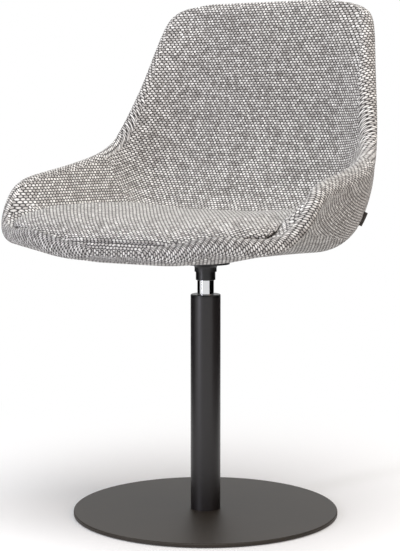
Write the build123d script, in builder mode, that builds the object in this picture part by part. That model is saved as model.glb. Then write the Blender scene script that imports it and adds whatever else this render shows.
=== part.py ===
from build123d import *

# Swivel dining chair: an upholstered bucket shell on a fixed column and a round floor plate.
# Millimetres, +Z up, the sitter looks along -Y. The origin is the middle of the floor pad's
# underside. The shell is drawn as ribs: flat sections that fan from its underside to its rim.

import os
from math import cos, pi, radians, sin, tan

# ---- floor plate and column ----
plate_diameter = 442.0
plate_thickness = 6.0
plate_edge_round = 1.5
pad_thickness = 1.5
pad_inset = 4.0  # the pad stays this far inside the plate's edge

column_diameter = 50.0
column_wall = 2.5
column_length = 356.5
foot_thickness = 14.0
foot_screw_circle = 26.0
foot_screw_count = 4
foot_screw_diameter = 8.0
foot_screw_head = 16.0
foot_screw_length = 16.0
foot_drive_width = 5.0
foot_drive_depth = 2.5

cap_flange = 5.0
cap_edge_round = 2.0
cap_spigot = 25.0

# ---- spindle and its bearing ----
spindle_diameter = 28.0
spindle_exposed = 23.5  # bright length between the cap and the sleeve
journal_diameter = 20.0
bearing_depth = 150.0  # from the column's top down to the spindle's shoulder
race_outer = 35.0
race_thickness = 3.6
ball_diameter = 5.5
ball_circle = 27.5
ball_count = 12
bearing_height = 10.0
cage_thickness = 1.6
cage_inner = 22.4
cage_outer = 33.0
seat_ring_height = 14.0
bush_wall = 2.0
bush_flange = 2.0
bush_flange_diameter = 32.0
washer_thickness = 1.5
washer_diameter = 30.0
clip_thickness = 1.2
clip_depth = 1.0  # how far the clip's groove goes into the journal
clip_rim = 2.2  # how far the clip stands out of the groove's floor
clip_gap = 50.0  # degrees left open in the clip
journal_tail = 3.0  # journal left below the clip
journal_chamfer = 1.0
race_edge_round = 0.4
race_play = 0.5  # the lower race centres on the balls and stays clear of the journal

sleeve_diameter = 32.6
sleeve_height = 14.0
sleeve_round = 1.0

# ---- hub under the shell ----
hub_diameter = 36.8
hub_neck = 5.5
hub_flare = 7.0
hub_flange_diameter = 80.0
hub_flange = 5.0
hub_screw_circle = 60.0
hub_screw_count = 4
hub_screw_diameter = 8.0
hub_screw_head = 15.0
centre_screw_diameter = 10.0
centre_screw_head = 17.0
centre_screw_length = 16.0
centre_drive_width = 6.0
centre_drive_depth = 3.0
tap_run_out = 4.0
screw_point = 1.0  # chamfer at a screw's end

# ---- shell ----
roll = 15.0  # radius of the rolled rim
board_height = 26.0  # the seat board's underside above the hub's flange
board_thickness = 8.0
board_width = 280.0
board_depth = 250.0
board_forward = 45.0  # the board's middle is this far in front of the axis
board_corner = 45.0
boss_diameter = 92.0
frame_rod = 8.0
frame_half = 110.0  # the hoop's two sides stand this far from the middle
frame_toe = 0.0  # y where its feet start, lying on the seat board
frame_heel = 93.0  # y where they bend upwards
frame_waist = (190.0, 152.0)  # y, and height above shell_bottom, of the bend behind the hips
frame_head = (208.0, 375.0)  # the same of the crossbar behind the shoulders
frame_bends = (60.0, 200.0, 45.0)  # radii at the heel, the waist and the head
insert_diameter = 84.0
insert_thickness = 4.0
insert_height = 16.0  # the insert's underside above the hub's flange
hub_screw_length = 25.0
hub_drive_width = 5.0
hub_drive_depth = 2.5

# ---- clearances ----
press_gap = 0.03
running_gap = 0.05
ball_gap = 0.03
thread_gap = 0.05
soft_gap = 0.4

# ---- heights that follow ----
plate_top = pad_thickness + plate_thickness
column_top = plate_top + column_length
cap_top = column_top + cap_flange
sleeve_bottom = cap_top + spindle_exposed
hub_bottom = sleeve_bottom + sleeve_height
hub_top = hub_bottom + hub_neck + hub_flare + hub_flange
shell_bottom = hub_top + 1.0  # the padding stops just above the hub's flange
shoulder = column_top - bearing_depth
ball_height = shoulder - bearing_height / 2
ring_top = shoulder - bearing_height
ring_bottom = ring_top - seat_ring_height
column_bore = column_diameter / 2 - column_wall

os.makedirs("parts", exist_ok=True)


def finish(builder, name):
    """Label a finished piece and write it."""
    builder.part.label = name
    export_step(builder.part, f"parts/{name}.step")


def circle_spots(count, circle, turn=0.0):
    """The points of a bolt circle."""
    steps = [radians(turn + 360 * i / count) for i in range(count)]
    return [(circle / 2 * cos(a), circle / 2 * sin(a)) for a in steps]


# ---- floor pad, plate and its screws ----
with BuildPart() as floor_pad:
    with BuildSketch():
        Circle(plate_diameter / 2 - pad_inset)
    extrude(amount=pad_thickness)
finish(floor_pad, "floor_pad")

foot_spots = circle_spots(foot_screw_count, foot_screw_circle, 45)
foot_head_depth = (foot_screw_head - foot_screw_diameter) / 2

with BuildPart() as base_plate:
    with BuildSketch(Plane.XY.offset(pad_thickness)):
        Circle(plate_diameter / 2)
    extrude(amount=plate_thickness)
    fillet(base_plate.faces().sort_by(Axis.Z)[-1].edges(), plate_edge_round)
    with Locations(Plane.XY.offset(pad_thickness).rotated((180, 0, 0))):
        with Locations(*foot_spots):
            CounterSinkHole(
                foot_screw_diameter / 2 + thread_gap,
                foot_screw_head / 2 + thread_gap,
                counter_sink_angle=90,
            )
finish(base_plate, "base_plate")

with BuildPart() as column_foot:
    with BuildSketch(Plane.XY.offset(plate_top)):
        Circle(column_bore - press_gap)
    extrude(amount=foot_thickness)
    with Locations(Plane.XY.offset(plate_top + foot_thickness)):
        with Locations(*foot_spots):
            Hole(foot_screw_diameter / 2 + thread_gap)
finish(column_foot, "column_foot")


def sunk_screw(diameter, head, length, drive_width, drive_depth):
    """A countersunk screw with a hexagon socket, its head's face at the origin, pointing up."""
    cone = (head - diameter) / 2
    with BuildPart(mode=Mode.PRIVATE) as screw:
        with BuildSketch(Plane.XZ):
            with BuildLine():
                Polyline(
                    (0, 0),
                    (head / 2, 0),
                    (diameter / 2, cone),
                    (diameter / 2, length - screw_point),
                    (diameter / 2 - screw_point, length),
                    (0, length),
                    close=True,
                )
            make_face()
        revolve(axis=Axis.Z)
        with BuildSketch():
            RegularPolygon(drive_width / 2, 6, major_radius=False)
        extrude(amount=drive_depth, mode=Mode.SUBTRACT)
    return screw.part


foot_screw = sunk_screw(
    foot_screw_diameter, foot_screw_head, foot_screw_length, foot_drive_width, foot_drive_depth
)
with BuildPart() as base_screws:
    with Locations(Plane.XY.offset(pad_thickness)):
        with Locations(*foot_spots):
            add(foot_screw)
finish(base_screws, "base_screws")

# ---- column, its cap and the ring that carries the bearing ----
with BuildPart() as column_tube:
    with BuildSketch(Plane.XY.offset(plate_top)):
        Circle(column_diameter / 2)
        Circle(column_bore, mode=Mode.SUBTRACT)
    extrude(amount=column_length)
finish(column_tube, "column_tube")

with BuildPart() as column_cap:
    with BuildSketch(Plane.XY.offset(column_top)):
        Circle(column_diameter / 2)
    extrude(amount=cap_flange)
    fillet(column_cap.faces().sort_by(Axis.Z)[-1].edges(), cap_edge_round)
    with BuildSketch(Plane.XY.offset(column_top)):
        Circle(column_bore - press_gap)
    extrude(amount=-cap_spigot)
    with Locations(Plane.XY.offset(cap_top)):
        Hole(spindle_diameter / 2 + running_gap)
finish(column_cap, "column_cap")

bush_outer = journal_diameter / 2 + running_gap + bush_wall
with BuildPart() as bearing_ring:
    with BuildSketch(Plane.XY.offset(ring_bottom)):
        Circle(column_bore - press_gap)
        Circle(bush_outer + press_gap, mode=Mode.SUBTRACT)
    extrude(amount=seat_ring_height)
finish(bearing_ring, "bearing_ring")

with BuildPart() as journal_bush:
    with BuildSketch(Plane.XY.offset(ring_bottom - bush_flange)):
        Circle(bush_flange_diameter / 2)
    extrude(amount=bush_flange)
    with BuildSketch(Plane.XY.offset(ring_bottom)):
        Circle(bush_outer)
    extrude(amount=seat_ring_height)
    with Locations(Plane.XY.offset(ring_top)):
        Hole(journal_diameter / 2 + running_gap)
finish(journal_bush, "journal_bush")


# ---- thrust ball bearing ----
def race(low, back_face, bore):
    """A flat race with a ball groove; back_face is 0 when its outer face is below, -1 above."""
    with BuildPart(mode=Mode.PRIVATE) as ring:
        with BuildSketch(Plane.XY.offset(low)):
            Circle(race_outer / 2)
            Circle(bore, mode=Mode.SUBTRACT)
        extrude(amount=race_thickness)
        with BuildSketch(Plane.XZ):
            with Locations((ball_circle / 2, ball_height)):
                Circle(ball_diameter / 2 + ball_gap)
        revolve(axis=Axis.Z, mode=Mode.SUBTRACT)
        outer_edges = ring.edges().filter_by(GeomType.CIRCLE).group_by(Axis.Z)[back_face]
        fillet(outer_edges.sort_by(SortBy.RADIUS)[-1], race_edge_round)
    return ring.part


low_ring = race(ring_top, 0, journal_diameter / 2 + race_play)
with BuildPart() as lower_race:
    add(low_ring)
finish(lower_race, "lower_race")

high_ring = race(shoulder - race_thickness, -1, journal_diameter / 2 + press_gap)
with BuildPart() as upper_race:
    add(high_ring)
finish(upper_race, "upper_race")

ball_spots = circle_spots(ball_count, ball_circle)
with BuildPart() as bearing_balls:
    with Locations(Plane.XY.offset(ball_height)):
        with Locations(*ball_spots):
            Sphere(ball_diameter / 2)
finish(bearing_balls, "bearing_balls")

with BuildPart() as bearing_cage:
    with BuildSketch(Plane.XY.offset(ball_height - cage_thickness / 2)):
        Circle(cage_outer / 2)
        Circle(cage_inner / 2, mode=Mode.SUBTRACT)
        with Locations(*ball_spots):
            Circle(ball_diameter / 2 + ball_gap, mode=Mode.SUBTRACT)
    extrude(amount=cage_thickness)
finish(bearing_cage, "bearing_cage")

# ---- spindle, its washer and clip, and the sleeve above the bright length ----
washer_top = ring_bottom - bush_flange - running_gap
clip_top = washer_top - washer_thickness - running_gap
journal_bottom = clip_top - clip_thickness - journal_tail
groove_radius = journal_diameter / 2 - clip_depth

with BuildPart() as spindle:
    with BuildSketch(Plane.XZ):
        with BuildLine():
            Polyline(
                (0, journal_bottom),
                (journal_diameter / 2 - journal_chamfer, journal_bottom),
                (journal_diameter / 2, journal_bottom + journal_chamfer),
                (journal_diameter / 2, clip_top - clip_thickness - running_gap),
                (groove_radius, clip_top - clip_thickness - running_gap),
                (groove_radius, clip_top),
                (journal_diameter / 2, clip_top),
                (journal_diameter / 2, shoulder),
                (spindle_diameter / 2, shoulder),
                (spindle_diameter / 2, hub_bottom),
                (journal_diameter / 2, hub_bottom),
                (journal_diameter / 2, hub_top),
                (0, hub_top),
                close=True,
            )
        make_face()
    revolve(axis=Axis.Z)
    with Locations(Plane.XY.offset(hub_top)):
        CounterSinkHole(
            centre_screw_diameter / 2 + thread_gap,
            centre_screw_head / 2 + thread_gap,
            centre_screw_length + tap_run_out,
            counter_sink_angle=90,
        )
finish(spindle, "spindle")

top_screw = sunk_screw(
    centre_screw_diameter,
    centre_screw_head,
    centre_screw_length,
    centre_drive_width,
    centre_drive_depth,
)
with BuildPart() as centre_screw:
    with Locations(Plane.XY.offset(hub_top).rotated((180, 0, 0))):
        add(top_screw)
finish(centre_screw, "centre_screw")

with BuildPart() as retaining_washer:
    with BuildSketch(Plane.XY.offset(washer_top)):
        Circle(washer_diameter / 2)
        Circle(journal_diameter / 2 + running_gap, mode=Mode.SUBTRACT)
    extrude(amount=-washer_thickness)
finish(retaining_washer, "retaining_washer")

with BuildPart() as retaining_clip:
    with BuildSketch(Plane.XY.offset(clip_top - running_gap / 2)):
        Circle(groove_radius + clip_rim)
        Circle(groove_radius + press_gap, mode=Mode.SUBTRACT)
        with BuildLine():
            reach = washer_diameter
            half = radians(clip_gap / 2)
            Polyline(
                (0, 0),
                (reach * cos(half), reach * sin(half)),
                (reach * cos(half), -reach * sin(half)),
                close=True,
            )
        make_face(mode=Mode.SUBTRACT)
    extrude(amount=-clip_thickness)
finish(retaining_clip, "retaining_clip")

with BuildPart() as spindle_sleeve:
    with BuildSketch(Plane.XY.offset(sleeve_bottom)):
        Circle(sleeve_diameter / 2)
    extrude(amount=sleeve_height)
    fillet(spindle_sleeve.faces().sort_by(Axis.Z)[0].edges(), sleeve_round)
    with Locations(Plane.XY.offset(hub_bottom)):
        Hole(spindle_diameter / 2 + press_gap)
finish(spindle_sleeve, "spindle_sleeve")

# ---- hub: a turned neck that flares into a bolted flange ----
hub_spots = circle_spots(hub_screw_count, hub_screw_circle, 45)
neck_top = hub_bottom + hub_neck
flange_low = hub_top - hub_flange

with BuildPart() as seat_hub:
    with BuildSketch(Plane.XZ):
        with BuildLine():
            Polyline(
                (hub_diameter / 2 + hub_flare, flange_low),
                (hub_flange_diameter / 2, flange_low),
                (hub_flange_diameter / 2, hub_top),
                (journal_diameter / 2 + press_gap, hub_top),
                (journal_diameter / 2 + press_gap, hub_bottom),
                (hub_diameter / 2, hub_bottom),
                (hub_diameter / 2, neck_top),
            )
            CenterArc((hub_diameter / 2 + hub_flare, neck_top), hub_flare, 90, 90)
        make_face()
    revolve(axis=Axis.Z)
    with Locations(Plane.XY.offset(flange_low).rotated((180, 0, 0))):
        with Locations(*hub_spots):
            CounterSinkHole(
                hub_screw_diameter / 2 + thread_gap,
                hub_screw_head / 2 + thread_gap,
                counter_sink_angle=90,
            )
finish(seat_hub, "seat_hub")


# ---- shell: ribs from the front edge, along the arms and up the back ----
# Each rib is a flat section across the shell. It starts on the underside's middle line, at
# "back" of the axis and "up" from shell_bottom, and leans towards the sitter by "lean" degrees.
# rim_half and rim_rise place the rolled rim's middle in that section, depth is the padding's
# thickness at the middle line, pan_half and hull_half are where the inside and the underside
# start to turn up, side_lift is how far the underside has risen there.
columns = "back up lean rim_half rim_rise depth pan_half hull_half side_lift rim_share".split()
front_ribs = (
    (-264, 30, 0, 40, 1, 2, 30, 30, 0.3, 0.08),
    (-262, 21, 0, 62, 8, 16, 50, 50, 1, 0.5),
    (-258, 17, 1, 112, 12, 25, 84, 80, 2, 0.8),
    (-246, 14, 5, 164, 22, 31, 122, 112, 4, 0.95),
    (-201, 9, 11, 245, 43, 35, 158, 161, 12, 1),
)
seat_ribs = (
    (-130, 7, 10, 278, 99, 38, 178, 196, 23, 1),
    (-48, 2, 4, 276, 128, 42, 188, 216, 27, 1),
    (33, 2, 0, 262, 145, 46, 190, 228, 20, 1),
    (102, 19, 3, 247, 154, 54, 182, 229, 9, 1),
)
back_ribs = (
    (158, 78, 14, 236, 134, 55, 168, 218, 4, 1),
    (201, 182, 38, 221, 92, 47, 149, 193, 3, 1),
    (218, 295, 58, 204, 52, 38, 129, 162, 2, 1),
    (222, 378, 70, 192, 23, 32, 114, 132, 1, 0.97),
)
top_ribs = (
    (222, 413, 80, 177, 12, 27, 103, 110, 2, 0.87),
    (219, 426, 86, 154, 10, 21, 96, 97, 1, 0.68),
    (215, 431, 90, 133, 7, 14, 90, 89, 1, 0.45),
    (211, 434, 90, 115, 4, 8, 82, 82, 1, 0.27),
    (208, 435, 90, 100, 1, 2, 80, 80, 0.3, 0.08),
)
pan_round = 150.0
hull_round = 130.0
keel_round = 200.0
keel_share = 0.4  # the flat middle of the underside, as a share of hull_half
rim_fill = 0.95  # how round the rolled rim is


def midway(before, low, high, after):
    """The smooth curve through four evenly spaced values, half way between the middle two."""
    return (9 * (low + high) - before - after) / 16


def with_ribs_between(rows):
    """The given ribs with one more drawn smoothly between each pair, for an even loft."""
    first = [2 * a - b for a, b in zip(rows[0], rows[1])]
    last = [2 * a - b for a, b in zip(rows[-1], rows[-2])]
    run = [first, *rows, last]
    fuller = []
    for i in range(1, len(rows)):
        fuller.append(run[i])
        fuller.append([midway(*values) for values in zip(*run[i - 1 : i + 3])])
    return fuller + [rows[-1]]


def rib_plane(rib):
    """The plane of a rib: local x is +X, local y runs from the underside up to the rim."""
    lean = radians(rib["lean"])
    upward = Vector(0, -sin(lean), cos(lean))
    start = Vector(0, rib["back"], shell_bottom + rib["up"])
    return Plane(origin=start, x_dir=(1, 0, 0), z_dir=Vector(1, 0, 0).cross(upward))


def corner_radius(before, corner, after, wanted):
    """The wanted fillet, or the largest that takes under half of the shorter run beside it."""
    runs = [before - corner, after - corner]
    turn = pi - radians(runs[0].get_angle(runs[1]))
    room = 0.47 * min(run.length for run in runs)
    return min(wanted, room / tan(turn / 2))


def rounded_loop(corners, radii):
    """A closed outline, symmetric about local y, from its right half's corners."""
    right = [Vector(*corner) for corner in corners]
    left = [Vector(-point.X, point.Y) for point in reversed(right)]
    loop = right + left
    wanted = radii + radii[::-1]
    after = loop[1:] + loop[:1]
    before = loop[-1:] + loop[:-1]
    fitted = [corner_radius(*spot) for spot in zip(before, loop, after, wanted)]
    FilletPolyline(*loop, radius=fitted, close=True)


def wall_foot(rib):
    """Half way through the padding where the shell turns up."""
    across = (rib["pan_half"] + rib["hull_half"]) / 2
    return Vector(across, (rib["depth"] + rib["side_lift"]) / 2)


def wall_line(rib):
    """The rim's middle in its rib, the wall's direction there and the way in from the wall."""
    foot = wall_foot(rib)
    middle = Vector(rib["rim_half"], rib["rim_rise"])
    along = (middle - foot).normalized()
    return middle, along, Vector(-along.Y, along.X)


def shell_outline(rib, grow):
    """Pan, rolled rim and underside of the padded shell in one rib."""
    middle, along, inward = wall_line(rib)
    reach = roll * rib["rim_share"] + grow
    rounded_loop(
        [
            (keel_share * rib["hull_half"], -grow),
            (rib["hull_half"] + grow, rib["side_lift"] - grow),
            middle - inward * reach + along * reach,
            middle + inward * reach + along * reach,
            (rib["pan_half"] - grow, rib["depth"] + grow),
        ],
        [keel_round, hull_round, rim_fill * reach, rim_fill * reach, pan_round],
    )


def ribbed_solid(chosen, outline, grow=0.0):
    """A smooth loft through the chosen ribs."""
    with BuildPart(mode=Mode.PRIVATE) as body:
        for rib in chosen:
            with BuildSketch(rib_plane(rib)):
                with BuildLine():
                    outline(rib, grow)
                make_face()
        loft()
    return body.part


drawn_ribs = front_ribs + seat_ribs + back_ribs + top_ribs
ribs = [dict(zip(columns, row)) for row in with_ribs_between(drawn_ribs)]
padded_shell = ribbed_solid(ribs, shell_outline)
shell_room = ribbed_solid(ribs, shell_outline, soft_gap)
insert_low = hub_top + insert_height
board_low = hub_top + board_height

# ---- screws that hold the hub, and the tapped insert moulded in the seat board ----
hub_screw = sunk_screw(
    hub_screw_diameter, hub_screw_head, hub_screw_length, hub_drive_width, hub_drive_depth
)
with BuildPart() as hub_screws:
    with Locations(Plane.XY.offset(flange_low)):
        with Locations(*hub_spots):
            add(hub_screw)
finish(hub_screws, "hub_screws")

with BuildPart() as insert_plate:
    with BuildSketch(Plane.XY.offset(insert_low)):
        Circle(insert_diameter / 2)
        with Locations(*hub_spots):
            Circle(hub_screw_diameter / 2 + thread_gap, mode=Mode.SUBTRACT)
    extrude(amount=insert_thickness)
finish(insert_plate, "insert_plate")

with BuildPart() as seat_board:
    with BuildSketch(Plane.XY.offset(board_low)):
        with Locations((0, -board_forward)):
            RectangleRounded(board_width, board_depth, board_corner)
    extrude(amount=board_thickness)
    with BuildSketch(Plane.XY.offset(hub_top)):
        Circle(boss_diameter / 2)
    extrude(amount=board_height)
    with BuildSketch(Plane.XY.offset(insert_low)):
        Circle(insert_diameter / 2 + press_gap)
    extrude(amount=insert_thickness, mode=Mode.SUBTRACT)
    with BuildSketch(Plane.XY.offset(hub_top)):
        with Locations(*hub_spots):
            Circle(hub_screw_diameter / 2 + thread_gap)
    extrude(amount=hub_screw_length - hub_flange + screw_point, mode=Mode.SUBTRACT)
finish(seat_board, "seat_board")

# ---- bent steel hoop: its feet lie on the seat board and it stiffens the back's rim ----
def bent_hoop(radius, toe):
    """A rod of this radius along the hoop's line, starting at this y."""
    foot = board_low + board_thickness + press_gap + frame_rod / 2
    waist_y, waist_rise = frame_waist
    head_y, head_rise = frame_head
    side = [
        (frame_half, toe, foot),
        (frame_half, frame_heel, foot),
        (frame_half, waist_y, shell_bottom + waist_rise),
        (frame_half, head_y, shell_bottom + head_rise),
    ]
    other_side = [(-x, y, z) for x, y, z in reversed(side)]
    with BuildPart(mode=Mode.PRIVATE) as rod:
        with BuildLine() as hoop_line:
            FilletPolyline(*side, *other_side, radius=[*frame_bends, *reversed(frame_bends)])
        with BuildSketch(Plane(hoop_line.line @ 0, z_dir=hoop_line.line % 0)):
            Circle(radius)
        sweep()
    return rod.part


frame_body = bent_hoop(frame_rod / 2, frame_toe)
frame_room = bent_hoop(frame_rod / 2 + soft_gap, frame_toe - soft_gap)
with BuildPart() as rim_frame:
    add(frame_body)
finish(rim_frame, "rim_frame")

# ---- seat cushion: upright sections from the front nose to the back ----
# y of the section, half width, underside, top at the side, top at the middle, edge radius
cushion_sections = (
    (-263, 50, 49, 55, 57, 3),
    (-257, 106, 45, 60, 62, 6),
    (-246, 156, 40, 66, 67, 10),
    (-228, 204, 36, 75, 71, 14),
    (-203, 230, 30, 82, 75, 16),
    (-160, 238, 20, 89, 78, 14),
    (-100, 238, 16, 91, 79, 12),
    (-30, 238, 16, 92, 79, 12),
    (40, 236, 16, 91, 77, 12),
    (95, 216, 20, 86, 72, 12),
    (150, 190, 30, 76, 63, 12),
)
dish_round = 900.0
underside_round = 4.0

with BuildPart(mode=Mode.PRIVATE) as raw_cushion:
    for y, half, low, side_top, middle_top, edge in cushion_sections:
        with BuildSketch(Plane.XZ.offset(-y)):
            with BuildLine():
                rounded_loop(
                    [
                        (half, shell_bottom + low),
                        (half, shell_bottom + side_top),
                        (keel_share * half, shell_bottom + middle_top),
                    ],
                    [underside_round, edge, dish_round],
                )
            make_face()
    loft()
cushion_bodies = (raw_cushion.part - shell_room).solids()
with BuildPart() as seat_cushion:
    add(cushion_bodies.sort_by(SortBy.VOLUME)[-1])
finish(seat_cushion, "seat_cushion")

with BuildPart() as upholstery:
    add(padded_shell)
    with BuildSketch(Plane.XY.offset(board_low - soft_gap)):
        with Locations((0, -board_forward)):
            RectangleRounded(
                board_width + 2 * soft_gap, board_depth + 2 * soft_gap, board_corner + soft_gap
            )
    extrude(amount=board_thickness + 2 * soft_gap, mode=Mode.SUBTRACT)
    with BuildSketch(Plane.XY.offset(hub_bottom)):
        Circle(boss_diameter / 2 + soft_gap)
    extrude(amount=board_low - hub_bottom, mode=Mode.SUBTRACT)
    add(frame_room, mode=Mode.SUBTRACT)
finish(upholstery, "upholstery")
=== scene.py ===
import bpy
import bmesh
import math
import numpy as np
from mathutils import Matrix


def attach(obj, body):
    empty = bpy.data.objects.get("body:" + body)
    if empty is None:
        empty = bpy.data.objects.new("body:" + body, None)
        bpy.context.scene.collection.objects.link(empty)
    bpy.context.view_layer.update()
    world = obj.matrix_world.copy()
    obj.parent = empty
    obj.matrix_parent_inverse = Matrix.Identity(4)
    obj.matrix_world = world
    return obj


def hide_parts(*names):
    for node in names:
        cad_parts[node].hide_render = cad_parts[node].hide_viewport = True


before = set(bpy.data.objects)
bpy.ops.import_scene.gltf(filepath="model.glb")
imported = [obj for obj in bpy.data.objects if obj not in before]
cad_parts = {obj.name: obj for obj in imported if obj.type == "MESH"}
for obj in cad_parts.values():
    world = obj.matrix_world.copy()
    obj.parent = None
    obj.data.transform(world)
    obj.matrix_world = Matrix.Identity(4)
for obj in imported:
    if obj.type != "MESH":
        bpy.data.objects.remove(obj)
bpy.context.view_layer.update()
mm = 0.001
tiny = 1e-12    # keeps a division from failing at nought
bandGap = 0.3   # a wave texture's bands lie about this over its scale apart
noiseLow, noiseHigh = 0.3, 0.7      # nearly all of a noise texture lies between these
print("frame loaded")


def linearColour(hexCode):
    # sRGB hex to linear: values up to 0.04045 are divided by 12.92, others go to the power 2.4
    values = [int(hexCode[i:i + 2], 16) / 255 for i in (1, 3, 5)]
    linear = [v / 12.92 if v <= 0.04045 else ((v + 0.055) / 1.055) ** 2.4 for v in values]
    return (*linear, 1.0)


def addNode(tree, kind, inputs=None, out=0, **settings):
    # one node of this kind: its settings by name, each input a value or the socket it is linked from
    node = tree.nodes.new(kind)
    for name, value in settings.items():
        setattr(node, name, value)
    for name, value in (inputs or {}).items():
        if isinstance(value, bpy.types.NodeSocket):
            tree.links.new(value, node.inputs[name])
        else:
            node.inputs[name].default_value = value
    return node.outputs[out] if node.outputs else None


def newTree(name):
    # an empty node material
    material = bpy.data.materials.new(name)
    material.use_nodes = True
    material.node_tree.nodes.clear()
    return material, material.node_tree


# chunky woven upholstery: thick pale yarn with painted shade in the hollows between crossings, so each
# crossing shows as a pale bead
fabricSettings = {
    "across": 6.6,      # mm between beads along a row
    "along": 4.4,       # mm between rows
    "shift": 0.44,      # of a bead's spacing that each row is moved on
    "beadWidth": 0.94,  # of its cell
    "beadHeight": 1.0,
    "wander": 0.5,      # mm that the yarns stray off the grid
    "wanderSize": 9.0,  # mm, over which they stray
    "ply": 1.1,         # mm between the turns of the plied yarn
    "plyAngle": 35.0,   # degrees that the turns slant
    "plyDepth": 0.12,   # of a bead's height
    "fibreSize": 0.65,  # mm, of the fuzz on a yarn
    "fibreDepth": 0.3,  # of a bead's height
    "smoothDepth": 0.78,
    # painted shade: the colour that the hollows between beads sink to
    "hollowShade": "#33302f",
    "darkYarn": "#b4b0ac",
    "paleYarn": "#fbf9f5",
    "shadeBelow": 0.25,   # height under which the hollows' painted shade shows
    "yarnAbove": 0.8,   # height over which the yarn's colour shows
    "streak": 0.1,      # how much paleness drifts along a row
    "driftAlong": 0.07,     # of a drift from one bead to the next
    "driftAcross": 0.9,     # and from one row to the next
    "relief": 1.0,      # mm from the gaps to the crowns
    "bump": 0.9,
    "roughness": 0.95,
    "sheen": 0.15,
}


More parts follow.
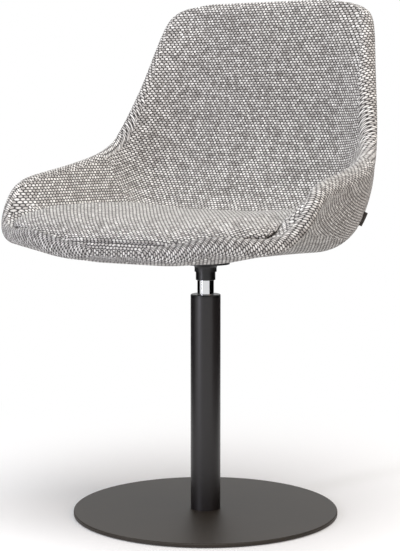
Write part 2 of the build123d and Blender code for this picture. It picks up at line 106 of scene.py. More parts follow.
def wovenFabric(name, settings):
    # rows of beads, each row moved on by nearly half a bead. The height over a cell is the root of one
    # less the squared distances from its middle over the bead's half sizes, times the ply and the fuzz.
    # To the eye: a matt, grainy cloth, pale beads of slightly different paleness with dark gaps between;
    # that dark is painted shade, laid in by the height
    material, tree = newTree(name)
    uv = addNode(tree, "ShaderNodeUVMap", uv_map="weave")
    # the noise strays a quarter either side of its middle, so four times that is the whole wander
    wander = addNode(tree, "ShaderNodeTexNoise", {
        "Vector": uv, "Scale": 1 / (settings["wanderSize"] * mm), "Detail": 2.0}, "Color")
    centred = addNode(tree, "ShaderNodeVectorMath", {0: wander, 1: (0.5, 0.5, 0.5)}, operation="SUBTRACT")
    small = addNode(tree, "ShaderNodeVectorMath", {0: centred, "Scale": 4 * settings["wander"] * mm},
                    operation="SCALE")
    place = addNode(tree, "ShaderNodeVectorMath", {0: uv, 1: small}, operation="ADD")
    u = addNode(tree, "ShaderNodeSeparateXYZ", {0: place})
    v = u.node.outputs[1]
    rows = addNode(tree, "ShaderNodeMath", {0: v, 1: settings["along"] * mm}, operation="DIVIDE")
    row = addNode(tree, "ShaderNodeMath", {0: rows}, operation="FLOOR")
    moved = addNode(tree, "ShaderNodeMath", {0: row, 1: settings["shift"]}, operation="MULTIPLY")
    straight = addNode(tree, "ShaderNodeMath", {0: u, 1: settings["across"] * mm}, operation="DIVIDE")
    beads = addNode(tree, "ShaderNodeMath", {0: straight, 1: moved}, operation="ADD")
    bead = addNode(tree, "ShaderNodeMath", {0: beads}, operation="FLOOR")
    inRow = addNode(tree, "ShaderNodeMath", {0: rows}, operation="FRACT")
    inBead = addNode(tree, "ShaderNodeMath", {0: beads}, operation="FRACT")
    corner = addNode(tree, "ShaderNodeCombineXYZ", {0: inBead, 1: inRow})
    fromMiddle = addNode(tree, "ShaderNodeVectorMath", {0: corner, 1: (0.5, 0.5, 0.0)},
                         operation="SUBTRACT")
    halves = (settings["beadWidth"] / 2, settings["beadHeight"] / 2, 1.0)
    scaled = addNode(tree, "ShaderNodeVectorMath", {0: fromMiddle, 1: halves}, operation="DIVIDE")
    far = addNode(tree, "ShaderNodeVectorMath", {0: scaled, 1: scaled}, "Value", operation="DOT_PRODUCT")
    left = addNode(tree, "ShaderNodeMath", {0: 1.0, 1: far}, operation="SUBTRACT", use_clamp=True)
    dome = addNode(tree, "ShaderNodeMath", {0: left}, operation="SQRT")
    cell = addNode(tree, "ShaderNodeCombineXYZ", {0: bead, 1: row})
    chance = addNode(tree, "ShaderNodeTexWhiteNoise", {"Vector": cell}, noise_dimensions="2D")
    # the ply: fine slanting ridges across each bead, and fuzz over them
    slant = addNode(tree, "ShaderNodeMapping", {
        "Vector": uv, "Rotation": (0, 0, math.radians(settings["plyAngle"]))})
    ply = addNode(tree, "ShaderNodeTexWave", {
        "Vector": slant, "Scale": bandGap / (settings["ply"] * mm), "Distortion": 2.0,
        "Detail": 1.0}, "Fac")
    fibres = addNode(tree, "ShaderNodeTexNoise", {
        "Vector": uv, "Scale": 1 / (settings["fibreSize"] * mm), "Detail": 3.0}, "Fac")
    fuzz = addNode(tree, "ShaderNodeMath", {
        0: fibres, 1: settings["fibreDepth"], 2: settings["smoothDepth"]}, operation="MULTIPLY_ADD")
    ridges = addNode(tree, "ShaderNodeMath", {0: ply, 1: settings["plyDepth"], 2: fuzz},
                     operation="MULTIPLY_ADD")
    height = addNode(tree, "ShaderNodeMath", {0: dome, 1: ridges}, operation="MULTIPLY")
    yarn = addNode(tree, "ShaderNodeMix", {
        0: chance, 6: linearColour(settings["darkYarn"]), 7: linearColour(settings["paleYarn"])}, 2,
        data_type="RGBA")
    # the colour sinks from the yarn's to painted shade as the height falls into the hollows between beads
    depth = addNode(tree, "ShaderNodeMapRange", {
        "Value": height, "From Min": settings["shadeBelow"], "From Max": settings["yarnAbove"]})
    colour = addNode(tree, "ShaderNodeMix", {0: depth, 6: linearColour(settings["hollowShade"]), 7: yarn}, 2,
                     data_type="RGBA")
    # paleness drifts slowly along each row, as spun yarn does
    slow = addNode(tree, "ShaderNodeVectorMath", {
        0: cell, 1: (settings["driftAlong"], settings["driftAcross"], 1.0)}, operation="MULTIPLY")
    drift = addNode(tree, "ShaderNodeTexNoise", {"Vector": slow, "Scale": 1.0, "Detail": 2.0}, "Fac")
    tint = addNode(tree, "ShaderNodeMapRange", {
        "Value": drift, "From Min": noiseLow, "From Max": noiseHigh,
        "To Min": 1 - 2 * settings["streak"], "To Max": 1.0})
    final = addNode(tree, "ShaderNodeMix", {0: 1.0, 6: colour, 7: tint}, 2, data_type="RGBA",
                    blend_type="MULTIPLY")
    bump = addNode(tree, "ShaderNodeBump", {
        "Height": height, "Strength": settings["bump"], "Distance": settings["relief"] * mm})
    cloth = addNode(tree, "ShaderNodeBsdfPrincipled", {
        "Base Color": final, "Normal": bump, "Roughness": settings["roughness"],
        "Sheen Weight": settings["sheen"]})
    addNode(tree, "ShaderNodeOutputMaterial", {"Surface": cloth})
    return material


# paint, powder coat and moulded plastic
coatSettings = {
    "cloudSize": 70.0,  # mm, of the faint clouds in its tone
    "cloudTone": 0.08,  # how far they go either side of the colour
    "peel": 0.25,       # strength of the fine unevenness
}
# bright and plain metal
metalSettings = {
    "ringWave": 1.5,    # how unevenly the turned rings lie
    "smoother": 0.8,    # of the roughness, between rings
    "rougher": 1.25,    # and on them
}


def satinCoat(name, colour, roughness, grain, relief, gloss=0.5):
    # a fine orange-peel of noise, its grain and relief in mm, breaks up the gloss, and faint clouds
    # vary the tone
    material, tree = newTree(name)
    where = addNode(tree, "ShaderNodeTexCoord", None, "Object")
    peel = addNode(tree, "ShaderNodeTexNoise", {
        "Vector": where, "Scale": 1 / (grain * mm), "Detail": 2.0}, "Fac")
    cloud = addNode(tree, "ShaderNodeTexNoise", {
        "Vector": where, "Scale": 1 / (coatSettings["cloudSize"] * mm), "Detail": 3.0}, "Fac")
    tone = addNode(tree, "ShaderNodeMapRange", {
        "Value": cloud, "From Min": noiseLow, "From Max": noiseHigh,
        "To Min": 1 - coatSettings["cloudTone"], "To Max": 1 + coatSettings["cloudTone"]})
    base = addNode(tree, "ShaderNodeMix", {0: 1.0, 6: linearColour(colour), 7: tone}, 2,
                   data_type="RGBA", blend_type="MULTIPLY")
    bump = addNode(tree, "ShaderNodeBump", {
        "Height": peel, "Strength": coatSettings["peel"], "Distance": relief * mm})
    coat = addNode(tree, "ShaderNodeBsdfPrincipled", {
        "Base Color": base, "Normal": bump, "Roughness": roughness, "Specular IOR Level": gloss})
    addNode(tree, "ShaderNodeOutputMaterial", {"Surface": coat})
    return material


def turnedMetal(name, colour, roughness, spacing):
    # fine rings along the upright axis, this far apart in mm, vary the roughness
    material, tree = newTree(name)
    where = addNode(tree, "ShaderNodeTexCoord", None, "Object")
    rings = addNode(tree, "ShaderNodeTexWave", {
        "Vector": where, "Scale": bandGap / (spacing * mm), "Distortion": metalSettings["ringWave"]}, "Fac",
        bands_direction="Z")
    rough = addNode(tree, "ShaderNodeMapRange", {
        "Value": rings, "To Min": roughness * metalSettings["smoother"],
        "To Max": roughness * metalSettings["rougher"]})
    metal = addNode(tree, "ShaderNodeBsdfPrincipled", {
        "Base Color": linearColour(colour), "Metallic": 1.0, "Roughness": rough})
    addNode(tree, "ShaderNodeOutputMaterial", {"Surface": metal})
    return material


# the finishes of the hard pieces, each with the CAD nodes that wear it. A coat has its colour, roughness,
# grain and relief in mm, and gloss; a metal its colour, roughness and the rings' spacing in mm
finishes = [
    # sprayed and baked powder: near black, with a soft bright streak down the tube
    (satinCoat("finePowderCoat", "#1f1c1d", 0.34, 0.5, 0.03, 0.5), ["column_tube"]),
    # the same powder on flat steel: a warmer, duller black that takes the light evenly
    (satinCoat("plainPowderCoat", "#2d2720", 0.5, 0.5, 0.03, 0.35), ["base_plate", "column_foot"]),
    # sprayed paint: black with a broad, soft shine on the hub's flare
    (satinCoat("satinBlackPaint", "#1c1b1c", 0.42, 0.6, 0.03), ["seat_hub"]),
    # moulded nylon: the darkest black, with a narrow shine
    (satinCoat("satinBlackNylon", "#0d0d0e", 0.34, 0.8, 0.03), ["column_cap", "spindle_sleeve"]),
    # moulded rubber: a dull line under the plate
    (satinCoat("blackFloorPad", "#141414", 0.8, 1.0, 0.1), ["floor_pad"]),
    # unpainted nylon: a milky white cage
    (satinCoat("naturalNylon", "#d8d2c2", 0.45, 0.8, 0.02), ["bearing_cage"]),
    # filled plastic: a plain dark grey board
    (satinCoat("mouldedSeatBoard", "#3a3a3a", 0.5, 1.0, 0.05), ["seat_board"]),
    # plated and polished: mirrors the room as white and black streaks
    (turnedMetal("polishedChrome", "#d9dadc", 0.07, 0.5), ["spindle"]),
    # ground: a soft mirror
    (turnedMetal("groundBearingSteel", "#c3c4c6", 0.22, 0.35),
     ["upper_race", "lower_race", "bearing_balls"]),
    # zinc plated: a greyish, blurred shine
    (turnedMetal("zincPlatedSteel", "#b6b8bb", 0.35, 0.5),
     ["base_screws", "centre_screw", "hub_screws", "retaining_washer", "retaining_clip"]),
    # bare mild steel: dull grey
    (turnedMetal("plainSteel", "#8d8d8f", 0.4, 0.6), ["bearing_ring", "insert_plate", "rim_frame"]),
    # pressed and sintered: matt brown metal
    (turnedMetal("sinteredBronze", "#a8763f", 0.5, 0.6), ["journal_bush"]),
]
fabric = wovenFabric("chunkyGreyWeave", fabricSettings)
print("materials made")


# the shell: the model's ribs in millimetres, set a little closer to the photograph, with rounder ends
shellSettings = {
    "bottom": 425.0,    # height that the ribs' rises are measured from
    "roll": 15.0,       # half the rolled rim's thickness
    "panRound": 150.0,  # radius from the pan's floor up into the wall
    "hullRound": 130.0,     # radius from the outside down into the underside
    "keelRound": 200.0,     # radius from there into the flat of the underside
    "keelShare": 0.4,   # of the underside's half width that is flat
    "rimFill": 0.95,    # of the roll's half thickness that its two arcs take
    "arcPoints": (14, 9, 9, 14, 5),     # along the arcs of a section, from the inside out
    "linePoints": (14, 9, 1, 9, 5, 8),  # and along the runs between them
    "steps": 9,         # sections from one rib to the next
    "panelTurn": 0.74,  # a face this level, as a share, belongs to the pan's or the underside's own panel
    "cornerHalf": 120.0,    # half the flat width of the back, from where the weave turns forward
    "cornerRound": 90.0,    # radius of that turn
    "backFrom": 60.0,   # height over the bottom where the back's inside starts, in the middle
    "hullBackFrom": 100.0,  # and its outside
    "flankFrom": 120.0,     # y, in front of which the flank's rows fan down round a point
    "flankCentre": 760.0,   # that point's height
    "frontFrom": -190.0,    # y, in front of which the weave follows the width
    "ribs": [
        # back and up place the rib's foot and lean tilts it back, in degrees. The rim's middle is half
        # the width out and its rise over the foot; depth is the padding's, the pan and the hull have
        # their own half widths, the hull's edge is lifted, and the share makes the roll thinner
        # back, up, lean, rim half, rim rise, depth, pan half, hull half, side lift, rim share
        (-264, 26, 0, 40, 5, 10, 30, 30, 0.3, 0.3),
        (-262.5, 20, 0, 62, 12, 24, 50, 50, 1, 0.7),
        (-258, 16.5, 1, 115, 20, 32, 84, 80, 2, 0.95),
        (-246, 14.4, 4, 173, 33, 36, 122, 113, 3.6, 0.95),
        (-199.4, 9.5, 7, 251, 43, 35, 158, 163, 10.3, 0.8),
        (-129, 9, 13.5, 273.5, 97.5, 38, 178, 199, 22.4, 0.93),
        (-48, 8, 16, 268, 124.5, 42, 188, 220, 27, 1.03),
        (34, 8, 3, 263, 138, 46, 190, 240, 18, 1.04),
        (101, 19, 3.4, 247, 153, 54, 182, 229, 7, 1.02),
        (156.5, 78, 16.3, 235.5, 131, 55, 168, 227, 5, 0.98),
        (201, 182, 38.6, 222, 89.5, 47, 149, 199, 3.6, 1),
        (218, 295, 58, 205.5, 51, 38, 129, 164, 2.3, 1),
        (222, 378, 70, 192, 23, 32, 114, 132, 1, 0.97),
        (222, 413, 80, 177, 12, 27, 103, 110, 2, 0.87),
        (219, 426, 86, 154, 10, 21, 96, 97, 1, 0.68),
        (215, 431, 90, 133, 7, 14, 90, 89, 1, 0.45),
        (211, 434, 90, 115, 4, 8, 82, 82, 1, 0.27),
        (208, 435, 90, 100, 1, 2, 80, 80, 0.3, 0.08),
    ],
}


def roundedPath(corners, radii, arcSteps, lineSteps):
    # each corner becomes an arc that starts one tangent length before it, where the tangent length
    # is the radius times the tangent of half the turn, and straight runs join the arcs
    mostOfRun = 0.47    # a tangent takes no more of the shorter run beside its corner
    points = []
    last = corners[0]
    for index, radius in enumerate(radii):
        before, corner, after = corners[index], corners[index + 1], corners[index + 2]
        toBefore, toAfter = before - corner, after - corner
        shorter = min(np.linalg.norm(toBefore), np.linalg.norm(toAfter))
        toBefore = toBefore / np.linalg.norm(toBefore)
        toAfter = toAfter / np.linalg.norm(toAfter)
        turn = math.pi - math.acos(np.clip(toBefore @ toAfter, -1, 1))
        tangent = min(radius * math.tan(turn / 2), mostOfRun * shorter)
        radius = tangent / math.tan(turn / 2)
        middle = toBefore + toAfter
        centre = corner + middle / np.linalg.norm(middle) * radius / math.cos(turn / 2)
        start = corner + toBefore * tangent
        cross = -toBefore[0] * toAfter[1] + toBefore[1] * toAfter[0]
        sweep = math.copysign(turn, cross) * np.linspace(0, 1, arcSteps[index])
        angles = math.atan2(*(start - centre)[::-1]) + sweep
        arc = centre + radius * np.stack([np.cos(angles), np.sin(angles)], -1)
        line = np.linspace(last, arc[0], lineSteps[index], endpoint=False)
        points += [line, arc[:-1]]
        last = arc[-1]
    points.append(np.linspace(last, corners[-1], lineSteps[-1]))
    return np.concatenate(points)


def ribCurve(rib, settings):
    # half a section, from the middle of the inside, over the rolled rim, to the middle below: straight
    # runs with rounded corners. The roll's two corners lie one reach ahead of the rim's middle and one
    # reach to each side, and the section leans back by its angle and rises from the bottom
    back, up, lean, rimHalf, rimRise, depth, panHalf, hullHalf, sideLift, share = rib
    foot = np.array([(panHalf + hullHalf) / 2, (depth + sideLift) / 2])
    middle = np.array([rimHalf, rimRise])
    along = (middle - foot) / np.linalg.norm(middle - foot)
    inward = np.array([-along[1], along[0]])
    reach = settings["roll"] * share
    corners = np.array([
        (0, depth), (panHalf, depth), middle + inward * reach + along * reach,
        middle - inward * reach + along * reach, (hullHalf, sideLift),
        (settings["keelShare"] * hullHalf, 0), (0, 0),
    ])
    rim = settings["rimFill"] * reach
    radii = [settings["panRound"], rim, rim, settings["hullRound"], settings["keelRound"]]
    path = roundedPath(corners, radii, settings["arcPoints"], settings["linePoints"])
    tilt = math.radians(lean)
    return np.stack([
        path[:, 0],
        back - path[:, 1] * math.sin(tilt),
        settings["bottom"] + up + path[:, 1] * math.cos(tilt),
    ], -1) * mm


def smoothBetween(rows, steps):
    # a natural cubic spline through the rows: its second derivatives solve the usual band matrix
    count = len(rows)
    flat = rows.reshape(count, -1)
    band = np.eye(count)
    inner = np.arange(1, count - 1)
    band[inner, inner] = 4
    band[inner, inner - 1] = band[inner, inner + 1] = 1
    right = np.zeros_like(flat)
    right[1:-1] = 6 * (flat[2:] - 2 * flat[1:-1] + flat[:-2])
    bend = np.linalg.solve(band, right)
    place = np.linspace(0, count - 1, (count - 1) * steps + 1)
    low = np.minimum(place.astype(int), count - 2)
    b = (place - low)[:, None]
    a = 1 - b
    curved = (a ** 3 - a) * bend[low] + (b ** 3 - b) * bend[low + 1]
    smooth = a * flat[low] + b * flat[low + 1] + curved / 6
    return smooth.reshape(len(place), *rows.shape[1:])


def meshPiece(name, points, faces, uvs, material):
    # one smooth shaded mesh from arrays of points, faces and, corner by corner, the weave's coordinates
    mesh = bpy.data.meshes.new(name)
    mesh.from_pydata(points.tolist(), [], faces)
    mesh.polygons.foreach_set("use_smooth", np.ones(len(mesh.polygons), dtype=bool))
    if uvs is not None:
        layer = mesh.uv_layers.new(name="weave")
        layer.data.foreach_set("uv", uvs.astype(np.float32).ravel())
    mesh.materials.append(material)
    mesh.validate()
    mesh.update()
    piece = bpy.data.objects.new(name, mesh)
    bpy.context.scene.collection.objects.link(piece)
    return piece


def roundPlan(x, y, middleY, extra, settings):
    # the distance round the back's plan and forward along the arm: x over the flat middle, then the
    # angle round the corner times its radius, then the distance forward
    bend = settings["cornerRound"]
    beside = x - settings["cornerHalf"]
    behind = y - (middleY - bend)
    turned = settings["cornerHalf"] + bend * np.arctan2(beside, np.maximum(behind, tiny))
    forward = settings["cornerHalf"] + bend * math.pi / 2 - behind + extra
    return np.where(behind > 0, np.where(beside < 0, x, turned), forward)


def weaveOver(half, settings, wallTop, rimColumn, rollEnd):
    # inside: u goes round the plan and v is the height. Outside, from the roll's inner edge on: v is the
    # distance down the section, and in front of the flank's start it is the distance from a point above,
    # so that the rows fan out; u is the distance along a row
    lean = smoothBetween(np.array([[rib[2]] for rib in settings["ribs"]]), settings["steps"])
    upright = np.cos(np.radians(lean)) ** 2
    x, y, z = np.moveaxis(half / mm, -1, 0)
    steps = np.linalg.norm(np.diff(half, axis=1), axis=-1) / mm
    travel = np.concatenate([np.zeros((len(half), 1)), np.cumsum(steps, axis=1)], axis=1)
    # how much longer the rim's own line is than its run forward, from the flank's start
    rim = half[:, rimColumn] / mm
    along = -np.concatenate([[0], np.cumsum(np.linalg.norm(np.diff(rim[:, :2], axis=0), axis=-1))])
    along -= np.interp(settings["flankFrom"], rim[:, 1], along)
    extra = np.maximum(along - (settings["flankFrom"] - rim[:, 1]), 0)[:, None]
    # at the front it goes by the width, so that the rows cross the nose without stretching
    front = rim[:, 1] < settings["frontFrom"]
    byWidth = np.interp(x, np.concatenate([[0], rim[front, 0]]),
                        np.concatenate([[extra[0, 0] + rim[0, 0]], extra[front, 0]]))
    extra = np.where(front[:, None], byWidth, extra)
    # on the sloping back a row's height goes by the distance up the slope
    backRows = z[:, 0] > settings["bottom"] + settings["backFrom"]
    rise = np.linalg.norm(np.diff(half[:, 0], axis=0), axis=-1) / mm - np.diff(z[:, 0])
    lift = np.concatenate([[0], np.cumsum(np.where(backRows[1:], rise, 0))])[:, None]
    insideY = np.interp(z, z[backRows, 0], y[backRows, 0])
    insideUv = np.stack([roundPlan(x, y, insideY, extra, settings), z + lift], -1)
    hullRows = z[:, -1] > settings["bottom"] + settings["hullBackFrom"]
    outsideY = np.interp(z, z[hullRows, -1], y[hullRows, -1])
    fromRim = np.maximum(travel - travel[:, [wallTop]], 0)
    rimHeight = rim[:, [2]]
    down = settings["flankCentre"] - rimHeight - lift + upright * fromRim + (1 - upright) * (rimHeight - z)
    # over the roll the distance round the plan is that of the roll's outer end
    held = np.maximum(np.arange(half.shape[1]), rollEnd)
    planDistance = roundPlan(x, y, outsideY, extra, settings)[:, held]
    planDistance += (1 - upright) * np.maximum(travel[:, [rollEnd]] - travel, 0)
    start = np.interp(settings["flankFrom"], rim[:, 1], planDistance[:, rimColumn])
    ahead = planDistance - start
    fan = np.hypot(ahead, down)
    fanned = (ahead > 0) & (down > 0)
    outsideUv = np.stack([
        np.where(fanned, np.arctan2(ahead, np.maximum(down, tiny)) * fan, ahead) + start,
        np.where(fanned, fan, down)], -1)
    return insideUv * mm, outsideUv * mm


def shellPiece(name, settings, material):
    # sections along the ribs joined into a closed skin, mirrored left to right, ends zipped shut
    half = smoothBetween(np.array([ribCurve(rib, settings) for rib in settings["ribs"]]), settings["steps"])
    rows, count = half.shape[:2]
    mirrored = half[:, -2:0:-1] * np.array([-1, 1, 1])
    loops = np.concatenate([half, mirrored], axis=1)
    around = loops.shape[1]
    arcs, lines = settings["arcPoints"], settings["linePoints"]
    wallTop = lines[0] + arcs[0] - 1 + lines[1]     # the column where the roll starts
    rimColumn = wallTop + arcs[1] // 2              # in the middle of its first arc
    rollEnd = wallTop + arcs[1] - 1 + lines[2] + arcs[2] - 1
    insideUv, outsideUv = weaveOver(half, settings, wallTop, rimColumn, rollEnd)
    column = np.arange(around)
    source = np.where(column < count, column, around - column)
    nextColumn = (column + 1) % around
    inside = np.maximum(source, source[nextColumn]) <= wallTop
    row = np.arange(rows - 1)
    quads = np.stack(np.broadcast_arrays(
        row[:, None] * around + column, row[:, None] * around + nextColumn,
        (row[:, None] + 1) * around + nextColumn, (row[:, None] + 1) * around + column), -1)
    faceSide = np.where(column < count - 1, 1.0, -1.0)

    def weave(rowIndex, columnIndex, face):
        # the inside panel's place or the outside panel's, mirrored on the far side
        spot = source[columnIndex]
        place = np.where(inside[face][..., None], insideUv[rowIndex, spot], outsideUv[rowIndex, spot])
        return place * np.stack([faceSide[face], np.ones_like(faceSide[face])], -1)

    r = np.broadcast_to(row[:, None], quads.shape[:2])
    c = np.broadcast_to(column, quads.shape[:2])
    n = np.broadcast_to(nextColumn, quads.shape[:2])
    # the pan's floor and the underside are panels of their own, with the weave laid flat
    below = np.cross(half[1:, 1:] - half[:-1, :-1], half[1:, :-1] - half[:-1, 1:])
    below = below[..., 2] / np.maximum(np.linalg.norm(below, axis=-1), tiny)
    below = np.abs(below) > settings["panelTurn"]
    below[:, wallTop:rollEnd] = False
    under = np.concatenate([below, below[:, ::-1]], axis=1)
    uvs = np.stack([weave(r, c, c), weave(r, n, c), weave(r + 1, n, c), weave(r + 1, c, c)], 2)
    uvs = np.where(under[..., None, None], loops.reshape(-1, 3)[quads][..., :2], uvs)
    faces = quads.reshape(-1, 4).tolist()
    spots = np.arange(1, count - 2)
    for base, flip in ((0, True), ((rows - 1) * around, False)):
        cap = np.stack([base + spots, base + spots + 1,
                        base + around - spots - 1, base + around - spots], -1)
        ends = [[base, base + 1, base + around - 1],
                [base + count - 2, base + count - 1, base + count]]
        capFaces = cap.tolist() + ends
        faces += [face[::-1] for face in capFaces] if flip else capFaces
    points = loops.reshape(-1, 3)
    corners = np.concatenate([np.array(face) for face in faces[(rows - 1) * around:]])
    capUvs = np.stack([points[corners, 2], points[corners, 0]], -1)
    return meshPiece(name, points, faces, np.concatenate([uvs.reshape(-1, 2), capUvs]), material)


shell = shellPiece("upholsteredShell", shellSettings, fabric)
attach(shell, "seat")
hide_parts("upholstery")
print("shell made")

# a small folded tape tab sewn into one rear flank, left bare
tabSettings = {
    "top": (251.0, 84.0, 508.0),    # mm, near the shell's surface
    "bottom": (242.0, 80.0, 486.5),
    "reach": 5.0,       # mm that it stands out
    "sink": 4.0,        # mm that it goes in
    "thick": 1.6,       # mm, two layers and the fold
    "bow": 0.4,         # mm that its middle is pushed out
    "steps": 13,        # rows from top to bottom
    "foldSteps": 9,     # points round the fold
}
# the tape: the same weave far finer and darker, which looks like plain grosgrain, its hollows again painted
# dark as shade
tapeSettings = dict(fabricSettings, across=1.4, along=0.9, wander=0.05, ply=0.5, hollowShade="#262423",
                    darkYarn="#4a4541", paleYarn="#625d58", relief=0.2)


def tabPiece(name, settings, carrier, material):
    # a flat loop: two straight layers joined by a half round fold, carried along the line from top to
    # bottom, with its middle pushed out a little so that it bows
    top, bottom = np.array(settings["top"]) * mm, np.array(settings["bottom"]) * mm
    spot, normal = carrier.closest_point_on_mesh((top + bottom) / 2)[1:3]
    out = np.array(normal)
    run = (bottom - top) / np.linalg.norm(bottom - top)
    out -= run * (out @ run)
    out /= np.linalg.norm(out)
    side = np.cross(run, out)
    half = settings["thick"] * mm / 2
    sink = [-settings["sink"] * mm]
    angle = np.linspace(-math.pi / 2, math.pi / 2, settings["foldSteps"])
    reach = np.concatenate([sink, settings["reach"] * mm - half + half * np.cos(angle), sink])
    offset = np.concatenate([[-half], half * np.sin(angle), [half]])
    share = np.linspace(0, 1, settings["steps"])
    middle = np.array(spot) + (share - 0.5)[:, None] * (bottom - top)
    bow = np.sin(share * math.pi)[:, None] * settings["bow"] * mm
    points = middle[:, None] + (reach[None] + bow)[..., None] * out + offset[None, :, None] * side
    rows, count = points.shape[:2]
    row, column = np.arange(rows - 1)[:, None], np.arange(count)
    after = (column + 1) % count
    quads = np.stack(np.broadcast_arrays(row * count + column, (row + 1) * count + column,
                                         (row + 1) * count + after, row * count + after), -1)
    lastRow = list(range((rows - 1) * count, rows * count))
    faces = quads.reshape(-1, 4).tolist() + [list(range(count)), lastRow[::-1]]
    corners = np.concatenate([np.array(face) for face in faces])
    flat = points.reshape(-1, 3)
    uvs = np.stack([flat[corners] @ run, flat[corners] @ out], -1)
    return meshPiece(name, flat, faces, uvs, material)


tab = tabPiece("flankTab", tabSettings, shell, wovenFabric("darkWovenTape", tapeSettings))
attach(tab, "seat")
print("tab made")

# the seat cushion: the model's own solid, blown up a little as cloth
cushionSettings = {
    "mergeWithin": 0.02,    # mm, for the solid's loose triangles
    "voxel": 5.0,       # mm, of the even mesh that is puffed
    "pressure": 4.0,
    "frames": 20,
    "quality": 5,
    "topFacing": 0.3,   # upward share of the normal over which a point belongs to the top
    "topCap": 5.0,      # mm that the top may rise
    "sideCap": 0.3,     # mm for the rest
    # mm that the sides are let out, at these places from front to back
    "letOutAt": (-250, -230, -212, -185, -150, -90, 60),
    "letOut": (3.0, 9.0, 12.5, 5.5, -0.5, -3.5, -2.5),
    "letOutPower": 4,   # how fast that fades from the edge to the middle
}


def cushionPiece(name, node, settings, material):
    # the CAD solid is remeshed evenly and inflated as cloth: each point moves by its own rise, times the
    # cap over the rise where it would go further
    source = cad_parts[node]
    mesh = source.data.copy()
    work = bmesh.new()
    work.from_mesh(mesh)
    bmesh.ops.remove_doubles(work, verts=work.verts, dist=settings["mergeWithin"] * mm)
    work.to_mesh(mesh)
    work.free()
    piece = bpy.data.objects.new(name, mesh)
    bpy.context.scene.collection.objects.link(piece)
    remesh = piece.modifiers.new("even", "REMESH")
    remesh.mode = "VOXEL"
    remesh.voxel_size = settings["voxel"] * mm
    mesh = bpy.data.meshes.new_from_object(piece.evaluated_get(bpy.context.evaluated_depsgraph_get()))
    piece.modifiers.clear()
    piece.data = mesh
    start = np.zeros(len(mesh.vertices) * 3, dtype=np.float32)
    mesh.vertices.foreach_get("co", start)
    start = start.reshape(-1, 3)
    normals = np.zeros(start.size, dtype=np.float32)
    mesh.vertex_normals.foreach_get("vector", normals)
    normals = normals.reshape(-1, 3)
    cloth = piece.modifiers.new("puff", "CLOTH")
    cloth.settings.use_pressure = True
    cloth.settings.uniform_pressure_force = settings["pressure"]
    cloth.settings.effector_weights.gravity = 0
    cloth.settings.quality = settings["quality"]
    for step in range(settings["frames"]):
        bpy.context.scene.frame_set(step + 1)
    puffed = bpy.data.meshes.new_from_object(piece.evaluated_get(bpy.context.evaluated_depsgraph_get()))
    piece.modifiers.clear()
    end = np.zeros(len(puffed.vertices) * 3, dtype=np.float32)
    puffed.vertices.foreach_get("co", end)
    bpy.context.scene.frame_set(1)
    move = end.reshape(-1, 3) - start
    top = normals[:, 2] > settings["topFacing"]
    cap = np.where(top, settings["topCap"], settings["sideCap"]) * mm
    size = np.maximum(np.linalg.norm(move, axis=1), tiny)
    start = start + move * np.minimum(1, cap / size)[:, None]
    # the sides are let out to the shell's wall, by a power of how far out a point is
    letOut = np.interp(start[:, 1], np.array(settings["letOutAt"]) * mm, np.array(settings["letOut"]) * mm)
    howFar = np.clip(np.abs(start[:, 0]) / np.abs(start[:, 0]).max(), 0, 1)
    start[:, 0] += letOut * np.sign(start[:, 0]) * howFar ** settings["letOutPower"]
    mesh.vertices.foreach_set("co", start.ravel())
    # the weave's rows run left to right: y plus z counts them over the top and down the front alike,
    # and on the faces that look sideways the height takes x's place
    corners = np.zeros(len(mesh.loops), dtype=np.int32)
    mesh.loops.foreach_get("vertex_index", corners)
    facing = np.zeros(len(mesh.polygons) * 3, dtype=np.float32)
    mesh.polygons.foreach_get("normal", facing)
    facing = np.abs(facing.reshape(-1, 3))
    sizes = np.zeros(len(mesh.polygons), dtype=np.int32)
    mesh.polygons.foreach_get("loop_total", sizes)
    sideways = np.repeat(facing[:, 0] > np.maximum(facing[:, 1], facing[:, 2]), sizes)
    x, y, z = start[corners].T
    crown = start[:, 2].max()
    values = np.stack([x + np.where(sideways, np.sign(x) * (crown - z), 0),
                       y + np.where(sideways, crown, z)], -1)
    layer = mesh.uv_layers.new(name="weave")
    layer.data.foreach_set("uv", values.astype(np.float32).ravel())
    mesh.polygons.foreach_set("use_smooth", np.ones(len(mesh.polygons), dtype=bool))
    mesh.materials.clear()
    mesh.materials.append(material)
    mesh.update()
    smooth = piece.modifiers.new("finer", "SUBSURF")
    smooth.levels = smooth.render_levels = 1
    return piece


cushion = cushionPiece("seatCushion", "seat_cushion", cushionSettings, fabric)
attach(cushion, "seat")
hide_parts("seat_cushion")
print("cushion made")

for material, nodes in finishes:
    for node in nodes:
        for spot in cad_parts[node].material_slots:
            spot.material = material
print("finishes set")

# studio: pale floor, soft light from above, a strip on the left and a warm lamp on the right, and the
# photograph's camera
studioSettings = {
    "floorSize": 40.0,      # m
    "floorColour": "#efefef",
    "floorLift": 0.15,      # glow that brings the open floor up to white for the camera
    "fadeFrom": 0.42,       # m from the column where the floor starts to fade to white
    "fadeTo": 1.05,
    "world": 0.31,          # strength of the light from all round
    "cardColour": "#0c0b0c",
    "cameraDistance": 2500.0,   # mm from the column
    "cameraAzimuth": 31.0,      # degrees round from the front
    "cameraHeight": 656.2,      # mm
    "cameraPitch": 5.860,       # degrees down
    "cameraYaw": 0.213,
    "focalPixels": 1517.77,
    "imageHeight": 551,
    "sensor": 36.0,             # mm
    "clipEnd": 100.0,           # m
}
lamps = [
    # name, place, target, width, height, power, colour
    ("overheadKey", (0.4, -0.4, 3.1), (0, 0, 0.5), 2.4, 2.4, 94.0, "#ffffff"),
    ("leftStrip", (-0.85, -2.6, 0.75), (0, 0, 0.35), 0.3, 1.3, 24.0, "#f2f0ff"),
    ("warmRight", (2.2, 0.0, 1.5), (0.1, 0, 0.6), 1.2, 1.2, 9.0, "#ffd8b8"),
]
cards = [
    # name, distance to the right of the column as the camera sees it, from how far behind it to how
    # far in front, height
    ("darkCardRight", 0.8, -1.5, 0.6, 0.6),
    ("darkCardLeft", -0.8, -1.6, 0.1, 0.6),
]


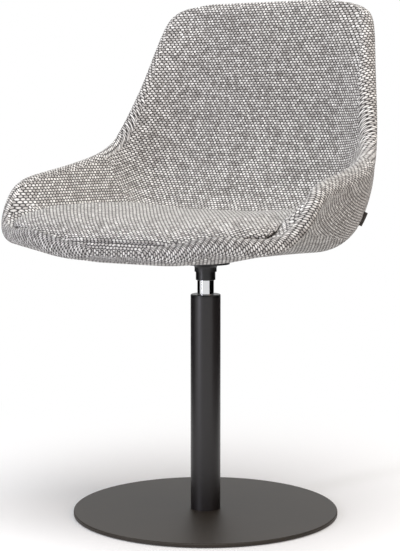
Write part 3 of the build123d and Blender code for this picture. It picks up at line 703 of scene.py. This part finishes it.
def aimedLight(name, place, target, width, height, power, colour):
    # an area lamp whose -Z points from its place to the target
    data = bpy.data.lights.new(name, "AREA")
    data.shape = "RECTANGLE"
    data.size, data.size_y = width, height
    data.energy = power
    data.color = linearColour(colour)[:3]
    lamp = bpy.data.objects.new(name, data)
    lamp.location = place
    heading = np.array(target) - np.array(place)
    tilt = math.atan2(math.hypot(heading[0], heading[1]), -heading[2])
    lamp.rotation_euler = (tilt, 0, math.atan2(heading[1], heading[0]) - math.pi / 2)
    bpy.context.scene.collection.objects.link(lamp)


def studioFloor(settings):
    # one large plane. Round the chair the camera sees its shading and a little glow, so that it keeps
    # the shadow, and further out it fades to white
    edge = settings["floorSize"] / 2
    points = np.array([(-edge, -edge, 0), (edge, -edge, 0), (edge, edge, 0), (-edge, edge, 0)])
    material, tree = newTree("paleStudioFloor")
    camera = addNode(tree, "ShaderNodeLightPath", None, "Is Camera Ray")
    glossy = camera.node.outputs["Is Glossy Ray"]
    seen = addNode(tree, "ShaderNodeMath", {0: camera, 1: glossy}, operation="MAXIMUM")
    where = addNode(tree, "ShaderNodeTexCoord", None, "Object")
    radius = addNode(tree, "ShaderNodeVectorMath", {0: where}, "Value", operation="LENGTH")
    fade = addNode(tree, "ShaderNodeMapRange", {
        "Value": radius, "From Min": settings["fadeFrom"], "From Max": settings["fadeTo"]},
        interpolation_type="SMOOTHSTEP")
    matt = addNode(tree, "ShaderNodeBsdfDiffuse", {"Color": linearColour(settings["floorColour"])})
    lift = addNode(tree, "ShaderNodeMath", {0: seen, 1: settings["floorLift"]}, operation="MULTIPLY")
    glow = addNode(tree, "ShaderNodeEmission", {"Color": (1, 1, 1, 1), "Strength": lift})
    lifted = addNode(tree, "ShaderNodeAddShader", {0: matt, 1: glow})
    white = addNode(tree, "ShaderNodeEmission", {"Color": (1, 1, 1, 1), "Strength": 1.0})
    share = addNode(tree, "ShaderNodeMath", {0: seen, 1: fade}, operation="MULTIPLY")
    surface = addNode(tree, "ShaderNodeMixShader", {0: share, 1: lifted, 2: white})
    addNode(tree, "ShaderNodeOutputMaterial", {"Surface": surface})
    floor = meshPiece("studioFloor", points, [[0, 1, 2, 3]], None, material)


def studioWorld(settings):
    # plain soft light, white where the camera or a reflection sees it
    world = bpy.data.worlds.new("softStudio")
    world.use_nodes = True
    tree = world.node_tree
    tree.nodes.clear()
    camera = addNode(tree, "ShaderNodeLightPath", None, "Is Camera Ray")
    glossy, through = camera.node.outputs["Is Glossy Ray"], camera.node.outputs["Is Transmission Ray"]
    either = addNode(tree, "ShaderNodeMath", {0: camera, 1: glossy}, operation="MAXIMUM")
    seen = addNode(tree, "ShaderNodeMath", {0: either, 1: through}, operation="MAXIMUM")
    strength = addNode(tree, "ShaderNodeMapRange", {
        "Value": seen, "To Min": settings["world"], "To Max": 1.0})
    sky = addNode(tree, "ShaderNodeBackground", {"Color": (1, 1, 1, 1), "Strength": strength})
    addNode(tree, "ShaderNodeOutputWorld", {"Surface": sky})
    bpy.context.scene.world = world


def studioCamera(settings):
    # the lens is the sensor's height times the focal length in pixels over the picture's height
    data = bpy.data.cameras.new("photoView")
    data.sensor_fit = "VERTICAL"
    data.sensor_height = data.sensor_width = settings["sensor"]
    data.lens = settings["sensor"] * settings["focalPixels"] / settings["imageHeight"]
    data.clip_end = settings["clipEnd"]
    camera = bpy.data.objects.new("photoView", data)
    turn = math.radians(settings["cameraAzimuth"])
    far = settings["cameraDistance"] * mm
    camera.location = (far * math.sin(turn), -far * math.cos(turn), settings["cameraHeight"] * mm)
    camera.rotation_euler = (
        math.radians(90 - settings["cameraPitch"]), 0, turn + math.radians(settings["cameraYaw"]))
    bpy.context.scene.collection.objects.link(camera)
    bpy.context.scene.camera = camera


def darkCard(name, right, behind, near, height, settings):
    # an upright card outside the view that the column and the chrome mirror as a dark streak
    turn = math.radians(settings["cameraAzimuth"])
    across = np.array([math.cos(turn), math.sin(turn), 0])
    towards = np.array([math.sin(turn), -math.cos(turn), 0])
    first, last = across * right + towards * behind, across * right + towards * near
    rise = np.array([0, 0, height])
    points = np.array([first, last, last + rise, first + rise])
    material, tree = newTree("blackStudioCard")
    matt = addNode(tree, "ShaderNodeBsdfDiffuse", {"Color": linearColour(settings["cardColour"])})
    addNode(tree, "ShaderNodeOutputMaterial", {"Surface": matt})
    card = meshPiece(name, points, [[0, 1, 2, 3]], None, material)
    card.visible_camera = card.visible_diffuse = card.visible_shadow = False


studioFloor(studioSettings)
studioWorld(studioSettings)
studioCamera(studioSettings)
for card in cards:
    darkCard(*card, studioSettings)
for lamp in lamps:
    aimedLight(*lamp)
bpy.context.scene.view_settings.view_transform = "Standard"
print("studio set")

bpy.context.view_layer.update()
